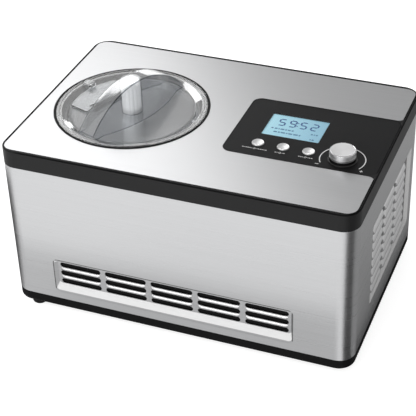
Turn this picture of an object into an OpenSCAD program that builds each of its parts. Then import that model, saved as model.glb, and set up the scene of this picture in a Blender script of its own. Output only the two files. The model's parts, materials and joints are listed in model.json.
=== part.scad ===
// Compressor ice cream maker with a removable two litre bowl. Units are millimetres.
// +X right, +Y back, +Z up. The origin is on the floor, under the middle of the case.

/* [Case] */
// width of the case, side to side
body_w = 425; // [424:1:436]
// depth of the case, front to back
body_d = 283; // [282:1:292]
// radius of the case's upright corners
corner_r = 20; // [16:1:24]
// height of the rubber feet
foot_h = 9; // [8:1:10]
// thickness of the steel sheets
sheet_t = 0.8; // [0.6:0.1:1]

/* [Bowl] */
// inside radius of the bowl
bowl_r = 76; // [74:0.5:76]
// wall of the bowl
bowl_wall = 1.2; // [1:0.1:1.3]
// angle of the lid's arch, clockwise from the depth axis
arch_turn = 18.6; // [10:0.2:26]

/* [Controls] */
// radius of the turning knob
knob_r = 15; // [13:0.5:15]
// radius of the push buttons
button_r = 7.3; // [6.5:0.1:7.4]
// how far a button can be pressed
button_travel = 1; // [0.6:0.1:1]

/* [Drive] */
// groove radius of the large pulley
drive_r = 36; // [34:1:37]
// groove radius of the motor's pulley
motor_r = 9; // [8:0.5:9]

/* [Hidden] */
eps = 0.01;
$fn = 96;

// heights of the stacked case sections
base_h = 14;
base_z = foot_h;
case_z = base_z + base_h;
case_h = 179;
band_z = case_z + case_h;
band_h = 22;
top_z = band_z + band_h;
deck_z = top_z - 4.3;
panel_z = top_z - 0.3 - sheet_t;
floor_t = 3;
floor_z = base_z + floor_t;
foot_inset_x = 40.5;
foot_inset_y = 37.5;

// bowl axis
bx = -102.4;
by = -6.2;

// front vent
vent_x0 = -156;
vent_x1 = 144;
vent_z0 = case_z + 10;
vent_z1 = case_z + 58;
vent_cols = 5;
vent_pitch = 58.4;
vent_mid = -4;
slot_w = 51.5;
slot_h = 6.2;
slot_z = case_z + 27.1;
slot_pitch = 12;

// side vent
grille_y0 = -68;
grille_y1 = 109;
grille_z0 = case_z + 29;
grille_z1 = case_z + 139;

// control panel
fas_x0 = 30.2;
fas_x1 = body_w / 2 - 2.2;
fas_y = 61.3;
fas_t = 1.5;
fas_z = panel_z + sheet_t - fas_t;
lcd_x0 = 62;
lcd_x1 = 131;
lcd_y0 = -14;
lcd_y1 = 34.5;
btn_y = -34.5;
btn_x = [66, 96, 126];
kx = 166.5;
ky = -38;
pcb_z = 206;
pcb_t = 1.6;
pcb_top = pcb_z + pcb_t;

// lid arch: a circular arc rising to arch_z above the floor
arch_half = 79;
arch_rise = 38;
arch_r = (arch_half * arch_half + arch_rise * arch_rise) / (2 * arch_rise);
arch_z = top_z + arch_rise;
lid_floor = top_z - 5.8;
lid_t = 2;
boss_r = 13.6;
boss_bore = 12.6;
flap_axis_x = -38.5;
flap_axis_z = 223.3;

// bowl and paddle
rim_z = 208;
bowl_z = 95;
tube_r = 9;
hub_r = 13;
neck_r = 11.6;
flute_top = 254;
shaft_r = 5;
run_gap = 0.05;
bearing_r = 12;
hex_r = 5.6;
paddle_z = 98.6;
well_wall = 1.5;
well_r = bowl_r + bowl_wall + 0.7;
coil_r = 4;
tube_wall = 0.8;
coil_ring = well_r + well_wall + coil_r + 0.1;
foam_r0 = coil_ring + coil_r + 0.9;
foam_r1 = 101;

// drive train
plate_z = 70;
motor_x = 0;
motor_y = -95;
motor_shaft_r = 3;
pulley_z = 51.5;
pulley_h = 11;
belt_gap = 0.35;
belt_t = 2;

// cooling machinery
comp_x = 58;
comp_y = 60;
comp_r = 50;
comp_shell = 3.5;
comp_core_r = 33;
fan_y = 17;
fan_z = 97;
fan_r = 50;
cond_x = 185;
tube_zs = [48, 73, 98, 123, 148];
inlet_x = 150;
inlet_z = 50;

black = [0.05, 0.05, 0.055];
steel = [0.75, 0.75, 0.76];
copper = [0.72, 0.42, 0.26];

module rrect(w, d, r) {
  square([w - 2 * r, d], center = true);
  square([w, d - 2 * r], center = true);
  for (sx = [-1, 1], sy = [-1, 1])
    translate([sx * (w / 2 - r), sy * (d / 2 - r)]) circle(r = r);
}

module rbox(x0, x1, y0, y1, r) {
  translate([(x0 + x1) / 2, (y0 + y1) / 2]) rrect(x1 - x0, y1 - y0, r);
}

// a slab whose upper edge is rounded all the way round
module soft_slab(w, d, h, r, e) {
  linear_extrude(h - e) rrect(w, d, r);
  linear_extrude(h) rrect(w - 2 * e, d - 2 * e, r - e);
  for (s = [-1, 1]) {
    translate([-(w / 2 - r), s * (d / 2 - e), h - e]) rotate([0, 90, 0]) cylinder(r = e, h = w - 2 * r);
    translate([s * (w / 2 - e), d / 2 - r, h - e]) rotate([90, 0, 0]) cylinder(r = e, h = d - 2 * r);
  }
  for (sx = [-1, 1], sy = [-1, 1])
    translate([sx * (w / 2 - r), sy * (d / 2 - r), h - e])
      rotate_extrude() translate([r - e, 0]) circle(r = e, $fn = 48);
}

// removes a square corner and leaves a round one
module corner_cut(r) {
  difference() {
    square([r + 1, r + 1]);
    circle(r = r);
  }
}

module ring(r0, r1, h) {
  difference() {
    cylinder(r = r1, h = h);
    translate([0, 0, -1]) cylinder(r = r0, h = h + 2);
  }
}

module at_bowl() {
  translate([bx, by, 0]) children();
}

module at_lid() {
  at_bowl() rotate([0, 0, -arch_turn]) children();
}

// the left pair stands near the corners, the right pair further in, under the condenser
module foot_places() {
  for (sy = [-1, 1]) {
    translate([-body_w / 2 + 24.5, sy * (body_d / 2 - 14.5), 0]) children();
    translate([body_w / 2 - foot_inset_x, sy * (body_d / 2 - foot_inset_y), 0]) children();
  }
}

module post_places() {
  for (p = [[-146, -119], [-146, 36], [30, -119], [-12, 36]]) translate([p[0], p[1], 0]) children();
}

module grommet_places() {
  for (sx = [-1, 1], sy = [-1, 1]) translate([comp_x + sx * 44, comp_y + sy * 44, 0]) children();
}

// outward from the inner face of the casing's rear returns
module rear_screw_places() {
  for (s = [-1, 1], z = [36, 112, 188])
    translate([s * 187.5, body_d / 2 - sheet_t, z]) rotate([-90, 0, 0]) children();
}

module board_places() {
  for (x = [52, 200], y = [-47, 41]) translate([x, y, 0]) children();
}

module base_tray() color(black) difference() {
  union() {
    translate([0, 0, case_z]) mirror([0, 0, 1]) soft_slab(body_w, body_d, base_h, corner_r, 4);
    translate([0, 0, case_z - 1]) linear_extrude(5) rrect(body_w - 2.2, body_d - 5, corner_r - 2);
  }
  translate([0, 0, floor_z]) linear_extrude(60) rrect(body_w - 9, body_d - 9, corner_r - 4.5);
  foot_places() translate([0, 0, base_z - 1]) cylinder(r = 2.1, h = 10);
  for (x = [30:12:150]) translate([x, 95, base_z - 1]) linear_extrude(10) rrect(5, 40, 2.4);
}

module feet() color([0.09, 0.09, 0.09]) foot_places() rotate_extrude()
  polygon([[2.1, base_z], [10.2, base_z], [10.2, base_z - 3], [9, 1.2], [8, 0], [5.5, 0],
    [5.5, 4.5], [2.1, 4.5]]);

module foot_screws() color(steel) foot_places() {
  difference() {
    translate([0, 0, 2]) cylinder(r = 4, h = 2.5);
    translate([0, 0, 1]) linear_extrude(2.2) {
      square([5, 0.9], center = true);
      square([0.9, 5], center = true);
    }
  }
  translate([0, 0, 4.5 - eps]) cylinder(r = 2, h = 10);
}

module casing() color(steel) difference() {
  translate([0, 0, case_z]) linear_extrude(case_h) difference() {
    rrect(body_w, body_d, corner_r);
    rrect(body_w - 2 * sheet_t, body_d - 2 * sheet_t, corner_r - sheet_t);
    translate([-184, body_d / 2 - 12]) square([368, 24]);
  }
  translate([0, -body_d / 2 + 6, 0]) rotate([90, 0, 0])
    linear_extrude(12) rbox(vent_x0, vent_x1, vent_z0, vent_z1, 6);
  translate([body_w / 2 - 6, 0, 0]) rotate([90, 0, 90])
    linear_extrude(12) rbox(grille_y0, grille_y1, grille_z0, grille_z1, 5);
  rear_screw_places() translate([0, 0, -eps]) cylinder(r1 = 1.75, r2 = 3.25, h = sheet_t + 2 * eps);
}

module rear_panel() color(steel) difference() {
  translate([-191.5, body_d / 2 - sheet_t - 1, case_z + 0.5]) cube([383, 1, case_h - 1]);
  translate([inlet_x, body_d / 2 + 5, inlet_z]) rotate([90, 0, 0]) linear_extrude(20) {
    rrect(27.6, 20.6, 3);
    for (s = [-1, 1]) translate([s * 20, 0]) circle(r = 1.7);
  }
  rear_screw_places() translate([0, 0, -5]) cylinder(r = 1.7, h = 10);
}

module rear_screws() color(steel) rear_screw_places() difference() {
  union() {
    translate([0, 0, -7]) cylinder(r = 1.7, h = 7);
    translate([0, 0, -eps]) cylinder(r1 = 1.7, r2 = 3.2, h = sheet_t + eps);
  }
  translate([0, 0, 0.4]) linear_extrude(2) square([4, 0.8], center = true);
}

module panel_outline() difference() {
  rrect(body_w - 4, body_d - 6, corner_r - 2.5);
  rbox(fas_x0 - 0.3, body_w, -fas_y - 0.2, fas_y + 0.2, 11);
  for (s = [-1, 1]) translate([body_w / 2 - 2 - 8, s * (fas_y + 0.2 + 8)])
    rotate([0, 0, s > 0 ? -90 : 0]) corner_cut(8);
}

module top_frame() color(black) difference() {
  union() {
    difference() {
      translate([0, 0, band_z]) soft_slab(body_w, body_d, band_h, corner_r, 1.6);
      translate([0, 0, band_z - 1]) linear_extrude(deck_z - band_z + 1)
        rrect(body_w - 6, body_d - 6, corner_r - 3);
    }
    at_bowl() translate([0, 0, 215]) cylinder(r = 100, h = deck_z - 214);
    translate([0, 0, band_z - 6]) linear_extrude(8) difference() {
      rrect(body_w - 2 * sheet_t - 0.2, body_d - 2 * sheet_t - 3, corner_r - 2);
      rrect(body_w - 8, body_d - 9, corner_r - 4);
    }
    board_places() translate([0, 0, pcb_top]) cylinder(r = 3.5, h = deck_z - pcb_top + 0.5);
  }
  translate([0, 0, panel_z]) linear_extrude(10) panel_outline();
  translate([0, 0, fas_z]) linear_extrude(10) rbox(fas_x0 - 0.2, fas_x1 + 0.1, -fas_y, fas_y, 10.8);
  at_bowl() {
    translate([0, 0, 200]) cylinder(r = 80.6, h = 60);
    translate([0, 0, 216.2]) cylinder(r1 = 80.6, r2 = 84.6, h = 6.2);
    translate([0, 0, 222.4]) cylinder(r = 93.4, h = 10);
  }
  translate([0, 0, deck_z - 1]) linear_extrude(10)
    rbox(lcd_x0 - 4, lcd_x1 + 4, lcd_y0 - 4, lcd_y1 + 4, 1);
  for (x = btn_x) translate([x, btn_y, deck_z - 1]) cylinder(r = 9.7, h = 10);
  translate([kx, ky, deck_z - 1]) cylinder(r = 5, h = 10);
  board_places() translate([0, 0, pcb_z]) cylinder(r = 1.2, h = 10);
}

module top_panel() color(steel) difference() {
  translate([0, 0, panel_z]) linear_extrude(sheet_t) difference() {
    panel_outline();
    translate([bx, by]) circle(r = 93.5);
  }
}

module opening_ring() color([0.03, 0.03, 0.03]) at_bowl() rotate_extrude()
  polygon([[91, 222.4], [93.4, 222.4], [93.4, top_z + 0.3], [92.8, top_z + 0.7],
    [91.4, top_z + 0.7], [91, top_z + 0.3]]);

module slot2d(w, h) {
  square([w - h, h], center = true);
  for (s = [-1, 1]) translate([s * (w - h) / 2, 0]) circle(r = h / 2, $fn = 48);
}

module front_grille() color(steel)
  translate([0, -body_d / 2 + 0.9, 0]) rotate([-90, 0, 0]) mirror([0, 1, 0]) {
  difference() {
    linear_extrude(4) rbox(vent_x0, vent_x1, vent_z0, vent_z1, 6);
    translate([0, 0, -1]) linear_extrude(3.2)
      rbox(vent_x0 + 2.2, vent_x1 - 2.2, vent_z0 + 9, vent_z1 - 2, 4);
    for (i = [0:vent_cols - 1], k = [0:2])
      translate([vent_mid + (i - 2) * vent_pitch, slot_z + k * slot_pitch, -1])
        linear_extrude(8) slot2d(slot_w, slot_h);
  }
  translate([0, 0, 2.6]) linear_extrude(1.4) difference() {
    rbox(vent_x0 - 5, vent_x1 + 5, vent_z0 - 5, vent_z1 + 5, 8);
    rbox(vent_x0 + 1, vent_x1 - 1, vent_z0 + 1, vent_z1 - 1, 5);
  }
}

// three columns of sloping louvres in a shallow pocket
module side_grille() color(steel) {
  difference() {
    translate([body_w / 2 - 6, 0, 0]) rotate([90, 0, 90])
      linear_extrude(5) rbox(grille_y0, grille_y1, grille_z0, grille_z1, 5);
    translate([body_w / 2 - 4.5, 0, 0]) rotate([90, 0, 90])
      linear_extrude(5) rbox(grille_y0 + 2, grille_y1 - 8, grille_z0 + 3, grille_z1 - 2, 3.5);
    for (c = [0:2]) translate([body_w / 2 - 8, grille_y0 + 7 + c * 51, grille_z0 + 9])
      cube([8, 45.5, 94]);
  }
  intersection() {
    translate([body_w / 2 - 6, grille_y0 + 1, grille_z0 + 1])
      cube([5, grille_y1 - grille_y0 - 2, grille_z1 - grille_z0 - 2]);
    for (c = [0:2], k = [0:7])
      translate([body_w / 2 - 6.5, grille_y0 + 6.5 + c * 51, grille_z0 + 10.5 + k * 11.9])
        rotate([0, 34, 0]) cube([9, 46.5, 1.4]);
  }
}

module control_fascia() color(black) translate([0, 0, fas_z]) difference() {
  linear_extrude(fas_t) rbox(fas_x0, fas_x1, -fas_y, fas_y, 10.8);
  translate([0, 0, -1]) linear_extrude(5) {
    rbox(lcd_x0, lcd_x1, lcd_y0, lcd_y1, 1.5);
    for (x = btn_x) translate([x, btn_y]) circle(r = 7.9);
    translate([kx, ky]) circle(r = 3.8);
  }
}

module lcd_window() color([0.7, 0.9, 0.95, 0.5])
  translate([0, 0, fas_z + 0.1]) linear_extrude(fas_t - 0.1) rbox(lcd_x0, lcd_x1, lcd_y0, lcd_y1, 1.5);

module lcd_module() color([0.65, 0.85, 0.9]) {
  translate([0, 0, 214]) linear_extrude(fas_z - 214.1)
    translate([lcd_x0 - 3.5, lcd_y0 - 3.5]) square([lcd_x1 - lcd_x0 + 7, lcd_y1 - lcd_y0 + 7]);
  for (s = [0, 1]) translate([lcd_x0 + s * 60, lcd_y1 - 2, pcb_top]) cube([6, 3, 214 - pcb_top + eps]);
}

module button(i) color([0.82, 0.82, 0.83]) translate([btn_x[i], btn_y, 0]) {
  difference() {
    union() {
      translate([0, 0, fas_z - 2]) cylinder(r = button_r, h = 4.1);
      translate([0, 0, fas_z + 2.1]) cylinder(r1 = button_r, r2 = button_r - 0.7, h = 0.7);
    }
    translate([0, 0, fas_z + 2.8 + 18.7]) sphere(r = 20);
  }
  translate([0, 0, fas_z - 1.8]) cylinder(r = 8.8, h = 1.2);
  translate([0, 0, 213.3]) cylinder(r = 2.4, h = fas_z - 213.3 - 1);
}
module button_left() button(0);
module button_middle() button(1);
module button_right() button(2);

module tact_switches() color([0.15, 0.15, 0.16]) for (x = btn_x) translate([x, btn_y, pcb_top]) {
  translate([-3, -3, 0]) cube([6, 6, 3.6]);
  translate([0, 0, 3.6 - eps]) cylinder(r = 1.75, h = 0.7);
}

module control_board() color([0.05, 0.3, 0.14]) difference() {
  union() {
    translate([0, 0, pcb_z]) linear_extrude(pcb_t) rbox(47, 205, -52, 46, 2);
    translate([150, 10, pcb_top - eps]) cube([12, 12, 2]);
    translate([178, -8, pcb_top - eps]) cube([8, 20, 6]);
    translate([148, -10, pcb_top - eps]) cylinder(r = 3, h = 7);
  }
  board_places() translate([0, 0, pcb_z - 1]) cylinder(r = 1.6, h = 5);
}

module board_screws() color(steel) board_places() {
  translate([0, 0, pcb_z - 1.8]) cylinder(r = 2.8, h = 1.8);
  translate([0, 0, pcb_z - eps]) cylinder(r = 1.2, h = 9);
}

module encoder_body() color([0.3, 0.3, 0.31]) translate([kx, ky, pcb_top]) difference() {
  union() {
    translate([-6, -6.5, 0]) cube([12, 13, 6.4]);
    translate([0, 0, 6.4 - eps]) cylinder(r = 3.6, h = 7);
  }
  translate([0, 0, 1]) cylinder(r = 3 + run_gap, h = 20);
}

module encoder_shaft() color([0.6, 0.6, 0.6]) translate([kx, ky, pcb_top + 1.4]) cylinder(r = 3, h = 25);

module knob_collar() color(black) translate([kx, ky, fas_z + fas_t]) ring(14.6, 17, 1.6);

module knob_core() color(black) translate([kx, ky, 0]) difference() {
  translate([0, 0, 224.1]) cylinder(r = knob_r - 1, h = 3.3);
  cylinder(r = 3, h = 400);
}

module knob_cap() color([0.8, 0.8, 0.81]) translate([kx, ky, 227.4]) difference() {
  union() {
    cylinder(r = knob_r, h = 8.6);
    translate([0, 0, 8.6 - eps]) cylinder(r1 = knob_r, r2 = knob_r - 1, h = 1 + eps);
  }
  translate([0, 0, -1]) cylinder(r = 3, h = 7.7);
}

module arch_side(o) rotate([90, 0, 90]) linear_extrude(23 - 2 * o) intersection() {
  translate([0, arch_z - arch_r]) circle(r = arch_r - o, $fn = 128);
  translate([-arch_half + o, lid_floor + 5]) square([2 * (arch_half - o), 60]);
}

module lens(o) intersection() {
  for (s = [-1, 1]) intersection() {
    translate([s * 127, 0]) circle(r = 154.5 - o, $fn = 192);
    translate([-s * 127, 0]) circle(r = 154.5 - o, $fn = 192);
  }
  square([80, 2 * 74.5 - 2 * o], center = true);
}

// the hollow arched handle that crosses the lid
module arch(o, drop) hull() {
  translate([-11.5 + o, 0, 0]) arch_side(o);
  translate([0, 0, lid_floor - drop]) linear_extrude(lid_t) lens(o);
  for (s = [-1, 1]) translate([-13.5 + o, s * (arch_half - 2 - o) - 1, top_z - 2]) cube([27 - 2 * o, 2, 1]);
}

module lid_shell() {
  difference() {
    union() {
      rotate_extrude() polygon([[0, lid_floor], [77, lid_floor], [84, top_z - 1.4],
        [90.5, top_z - 1.2], [90.5, top_z + 0.5], [89.8, top_z + 1], [83, top_z + 1],
        [76, lid_floor + lid_t], [0, lid_floor + lid_t]]);
      translate([0, 0, 203]) ring(73, 74.8, lid_floor - 203 + 1);
    }
    translate([0, 0, lid_floor - 1]) cylinder(r = boss_bore, h = 10);
    intersection() {
      translate([0, 0, lid_floor - 1]) cylinder(r = 71.5, h = 4);
      translate([-80, -35, lid_floor - 1]) cube([80 - 42, 70, 4]);
    }
  }
  for (s = [-1, 1]) translate([flap_axis_x - 3, s * 24 - 2, lid_floor + lid_t - 0.5]) difference() {
    cube([6, 4, 7]);
    translate([3, -1, flap_axis_z - lid_floor - lid_t + 0.5]) rotate([-90, 0, 0]) cylinder(r = 1.5, h = 6);
  }
  for (a = [10, 130, 250]) rotate([0, 0, a]) translate([84.5, -3, top_z + 0.9]) cube([4, 6, 0.9]);
}

module lid() color([0.85, 0.9, 0.92, 0.35]) at_lid() difference() {
  union() {
    difference() {
      union() {
        lid_shell();
        arch(0, 0);
      }
      arch(1.8, 3);
    }
    translate([0, 0, lid_floor]) cylinder(r = boss_r, h = arch_z - lid_floor - 2.5);
    translate([0, 0, arch_z - 2.5 - eps]) cylinder(r1 = boss_r, r2 = boss_r - 2.4, h = 2.5);
    translate([0, 0, lid_floor]) ring(boss_bore, boss_bore + 10, lid_t);
  }
  translate([0, 0, lid_floor - 1]) cylinder(r = boss_bore, h = arch_z - lid_floor - 3);
  translate([0, 0, arch_z - 4 - eps]) cylinder(r1 = boss_bore, r2 = boss_bore - 1.2, h = 2.4);
}

module refill_flap() color([0.85, 0.9, 0.92, 0.35]) at_lid() difference() {
  union() {
    translate([0, 0, lid_floor + lid_t + 0.4]) linear_extrude(1.6) intersection() {
      circle(r = 74.5);
      translate([-80, -38.5]) square([80 + flap_axis_x, 77]);
    }
    translate([flap_axis_x, -21, flap_axis_z]) rotate([-90, 0, 0]) cylinder(r = 2.6, h = 42);
    translate([-75, 4, lid_floor + lid_t + 1.5]) cube([3, 9, 6.4]);
    translate([-86, 4, top_z + 1.5]) cube([13, 9, 1.6]);
  }
  for (s = [-1, 1]) translate([flap_axis_x - 6, s * 24 - 2.8, lid_floor]) cube([7, 5.6, 5]);
  translate([flap_axis_x, -30, flap_axis_z]) rotate([-90, 0, 0]) cylinder(r = 1.5 + run_gap, h = 60);
}

module flap_pin() color(steel) at_lid()
  translate([flap_axis_x, -26, flap_axis_z]) rotate([-90, 0, 0]) cylinder(r = 1.5, h = 52);

module bowl_profile(r, z0, z1, e) {
  translate([0, z0 + e]) square([r, z1 - z0 - e]);
  translate([0, z0]) square([r - e, e + eps]);
  translate([r - e, z0 + e]) circle(r = e);
}

module bowl() color([0.8, 0.8, 0.8]) at_bowl() rotate_extrude() difference() {
  union() {
    difference() {
      intersection() {
        bowl_profile(bowl_r + bowl_wall, bowl_z, rim_z, 9);
        square([200, 400]);
      }
      intersection() {
        bowl_profile(bowl_r, bowl_z + 1.5, rim_z + 20, 8);
        square([200, 400]);
      }
    }
    translate([bowl_r + 0.2, rim_z - 1.5]) square([2.6, 1.5]);
    translate([0, bowl_z]) square([tube_r, 100]);
  }
  translate([-1, bowl_z - 1]) square([tube_r - 1.5 + 1, 103]);
}

module blade() translate([0, 2.2, 0]) rotate([90, 0, 0]) linear_extrude(4.4) difference() {
  union() {
    rbox(8, 74.6, 100, 152, 8);
    rbox(8, 60, paddle_z + 0.4, 120, 4);
  }
  rbox(18, 66, 114, 126, 5);
  rbox(18, 66, 132, 144, 5);
}

// the neck's outline, with fifteen shallow grip grooves
module fluted_ring() difference() {
  circle(r = neck_r);
  for (a = [0:24:336]) rotate([0, 0, a]) translate([neck_r + 2, 0]) circle(r = 2.6, $fn = 32);
}

module paddle() color([0.93, 0.93, 0.93]) at_bowl() {
  difference() {
    union() {
      translate([0, 0, paddle_z]) cylinder(r = hub_r, h = 106);
      translate([0, 0, paddle_z + 106 - eps]) linear_extrude(flute_top - paddle_z - 106) fluted_ring();
      translate([0, 0, flute_top - 2 * eps]) cylinder(r = neck_r, h = arch_z - 4 - flute_top);
      translate([0, 0, arch_z - 4 - 3 * eps]) cylinder(r1 = neck_r, r2 = neck_r - 1.4, h = 1.6);
      for (t = [0, 180]) rotate([0, 0, 62 + t]) blade();
    }
    translate([0, 0, paddle_z - 1]) cylinder(r = tube_r + 1, h = 99.6);
    translate([0, 0, 195]) cylinder(r = hex_r + 0.6, h = 13, $fn = 6);
    translate([0, 0, 205]) cylinder(r = 4, h = 10);
    translate([0, 0, 212]) cylinder(r = 9.5, h = 40);
  }
}

module cooling_well() color([0.7, 0.7, 0.7]) at_bowl() rotate_extrude() polygon([
  [12.2, 93], [well_r + well_wall, 93], [well_r + well_wall, 202], [81.1, 205], [81.1, 213],
  [100, 213], [100, 215], [80.6, 215], [79.6, 214], [79.6, 205.5], [well_r, 202.4],
  [well_r, 94.5], [12.2, 94.5]]);

module evaporator_coil() color(copper) at_bowl() {
  for (z = [104:11:192]) translate([0, 0, z]) rotate_extrude() translate([coil_ring, 0]) difference() {
    circle(r = coil_r, $fn = 40);
    circle(r = coil_r - tube_wall, $fn = 40);
  }
}

module insulation() color([0.9, 0.85, 0.65]) at_bowl() difference() {
  translate([0, 0, plate_z + 2]) cylinder(r = foam_r1, h = 213 - plate_z - 2);
  translate([0, 0, 93]) cylinder(r = foam_r0, h = 200);
  translate([0, 0, 60]) cylinder(r = 12.2, h = 60);
  rotate([0, 0, 22.4]) translate([0, 0, 148]) rotate([0, 90, 0]) cylinder(r = 3.1, h = 200);
  rotate([0, 0, -8]) translate([0, 0, 104]) rotate([0, 90, 0]) cylinder(r = 3.1, h = 200);
}

module drive_shaft() color([0.7, 0.7, 0.72]) at_bowl() {
  translate([0, 0, 46]) cylinder(r = shaft_r, h = 149.5);
  translate([0, 0, 195.5 - eps]) cylinder(r = hex_r, h = 10, $fn = 6);
}

module drive_bearing() color([0.6, 0.55, 0.4]) at_bowl() difference() {
  union() {
    translate([0, 0, 64]) cylinder(r = bearing_r, h = 28);
    translate([0, 0, 66]) cylinder(r = 20, h = plate_z - 66);
  }
  cylinder(r = shaft_r + run_gap, h = 200);
}

module shaft_seal() color([0.1, 0.1, 0.1]) at_bowl() translate([0, 0, 92]) ring(shaft_r + run_gap, 12.2, 2.5);

module pulley(r, bore) difference() {
  union() {
    cylinder(r = r, h = pulley_h);
    cylinder(r = r + 3.5, h = 1.4);
    translate([0, 0, pulley_h - 1.4]) cylinder(r = r + 3.5, h = 1.4);
  }
  translate([0, 0, -1]) cylinder(r = bore, h = pulley_h + 2);
}

module drive_pulley() color([0.85, 0.85, 0.82]) at_bowl() translate([0, 0, pulley_z]) difference() {
  pulley(drive_r, shaft_r);
  for (a = [0:60:300]) rotate([0, 0, a]) translate([20, 0, -1]) cylinder(r = 7, h = 20);
}

belt_l = sqrt(pow(motor_x - bx, 2) + pow(motor_y - by, 2));
belt_a = atan2(motor_y - by, motor_x - bx);

module belt_fill(r1, r2) {
  f = acos((r1 - r2) / belt_l);
  circle(r = r1);
  translate([belt_l, 0]) circle(r = r2);
  polygon([[r1 * cos(f), r1 * sin(f)], [belt_l + r2 * cos(f), r2 * sin(f)],
    [belt_l + r2 * cos(f), -r2 * sin(f)], [r1 * cos(f), -r1 * sin(f)]]);
}

module drive_belt() color([0.08, 0.08, 0.08]) at_bowl() rotate([0, 0, belt_a])
  translate([0, 0, pulley_z + 2]) linear_extrude(pulley_h - 4) difference() {
    belt_fill(drive_r + belt_gap + belt_t, motor_r + belt_gap + belt_t);
    belt_fill(drive_r + belt_gap, motor_r + belt_gap);
  }

module motor_shaft() color([0.7, 0.7, 0.72])
  translate([motor_x, motor_y, 49]) cylinder(r = motor_shaft_r, h = 80);

module motor_pulley() color([0.8, 0.8, 0.78])
  translate([motor_x, motor_y, pulley_z]) pulley(motor_r, motor_shaft_r);

module drive_motor() color([0.35, 0.35, 0.37]) translate([motor_x, motor_y, plate_z + 2]) difference() {
  union() {
    cylinder(r = 27, h = 64);
    translate([0, 0, 64 - eps]) cylinder(r = 10, h = 5);
    for (s = [-1, 1]) translate([s * 30 - 7, -7, 0]) cube([14, 14, 3]);
  }
  translate([0, 0, -1]) cylinder(r = motor_shaft_r + run_gap, h = 60);
}

module drive_bracket() color([0.6, 0.6, 0.62]) difference() {
  translate([0, 0, plate_z]) linear_extrude(2) {
    rbox(-156, -2, -129, 46, 10);
    rbox(-156, 42, -129, -58, 10);
  }
  at_bowl() cylinder(r = bearing_r + run_gap, h = 100);
  translate([motor_x, motor_y, 0]) cylinder(r = 7, h = 100);
}

module bracket_posts() color([0.6, 0.6, 0.62]) post_places()
  translate([0, 0, floor_z]) cylinder(r = 5, h = plate_z - floor_z);

module compressor() color([0.07, 0.07, 0.075]) translate([comp_x, comp_y, 0]) difference() {
  union() {
    intersection() {
      translate([0, 0, 40]) cylinder(r = comp_r, h = 130);
      translate([0, 0, 105]) sphere(r = 74);
    }
    translate([0, 0, 38]) linear_extrude(3) rrect(104, 104, 12);
    translate([0, 0, 100]) ring(comp_r - 2, comp_r + 1.5, 4);
    translate([-30, -comp_r - 12, 85]) cube([40, 18, 34]);
  }
  intersection() {
    translate([0, 0, 44]) ring(comp_core_r, comp_r - comp_shell, 114);
    translate([0, 0, 105]) sphere(r = 74 - comp_shell);
  }
  translate([0, -comp_core_r - 6, 30]) cylinder(r = 3, h = 20);
  for (sx = [-1, 1], sy = [-1, 1]) translate([sx * 44, sy * 44, 30]) cylinder(r = 5 + run_gap, h = 20);
}

module compressor_grommets() color([0.12, 0.12, 0.12]) grommet_places() difference() {
  union() {
    translate([0, 0, floor_z]) cylinder(r = 9, h = 38 - floor_z);
    translate([0, 0, 37]) cylinder(r = 5, h = 6);
    translate([0, 0, 41]) cylinder(r = 8, h = 2);
  }
  cylinder(r = 3, h = 100);
}

module compressor_bolts() color(steel) grommet_places() {
  translate([0, 0, floor_z]) cylinder(r = 3, h = 43 + eps - floor_z);
  translate([0, 0, 43]) cylinder(r = 6, h = 3.5, $fn = 6);
}

module condenser_fins() color([0.78, 0.79, 0.8]) difference() {
  for (y = [-54:8:90]) translate([cond_x - 12, y, 34]) cube([24, 0.8, 126]);
  for (z = tube_zs) translate([cond_x, -70, z]) rotate([-90, 0, 0]) cylinder(r = 4, h = 180);
}

module pipe_x(x0, x1, y, z, r)
  translate([x0, y, z]) rotate([0, 90, 0]) cylinder(r = r, h = x1 - x0, $fn = 48);

module pipe_y(x, y0, y1, z, r)
  translate([x, y0, z]) rotate([-90, 0, 0]) cylinder(r = r, h = y1 - y0, $fn = 48);

module pipe_z(x, y, z0, z1, r) translate([x, y, z0]) cylinder(r = r, h = z1 - z0, $fn = 48);

module bend(x, y, z, r) translate([x, y, z]) sphere(r = r + 0.4, $fn = 48);

module condenser_tube() color(copper) {
  for (z = tube_zs) pipe_y(cond_x, -60, 96, z, 4);
  for (p = [[96, 0], [-60, 1], [96, 2], [-60, 3]]) {
    pipe_z(cond_x, p[0], tube_zs[p[1]], tube_zs[p[1] + 1], 4);
    bend(cond_x, p[0], tube_zs[p[1]], 4);
    bend(cond_x, p[0], tube_zs[p[1] + 1], 4);
  }
}

module fan_shroud() color(black) translate([150, fan_y, fan_z]) rotate([0, 90, 0]) difference() {
  union() {
    translate([0, 0, 16]) linear_extrude(2.4) rrect(126, 148, 6);
    ring(fan_r + 1.5, fan_r + 3.5, 17);
    for (s = [-1, 1]) translate([60, s * 70 - 4, 10]) cube([22, 8, 7]);
  }
  cylinder(r = fan_r + 1.5, h = 40);
}

module fan_blade() color([0.2, 0.2, 0.21]) translate([152, fan_y, fan_z]) rotate([0, 90, 0]) {
  difference() {
    cylinder(r = 15, h = 12);
    translate([0, 0, -1]) cylinder(r = 2, h = 9);
  }
  translate([0, 0, -28]) cylinder(r = 2, h = 30);
  intersection() {
    translate([0, 0, 0.5]) cylinder(r = fan_r, h = 11);
    for (a = [0:60:300]) rotate([0, 0, a]) translate([13, 0, 6]) rotate([28, 0, 0])
      translate([0, -17, -0.9]) cube([50, 34, 1.8]);
  }
}

module fan_motor() color([0.4, 0.4, 0.42]) translate([122, fan_y, fan_z]) rotate([0, 90, 0]) difference() {
  cylinder(r = 17, h = 26);
  translate([0, 0, 1]) cylinder(r = 2 + run_gap, h = 40);
}

module fan_bracket() color([0.6, 0.6, 0.62]) {
  translate([120, fan_y - 12, floor_z]) cube([2, 24, fan_z - floor_z + 14]);
  translate([120, fan_y - 12, floor_z]) cube([22, 24, 2]);
}

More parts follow.
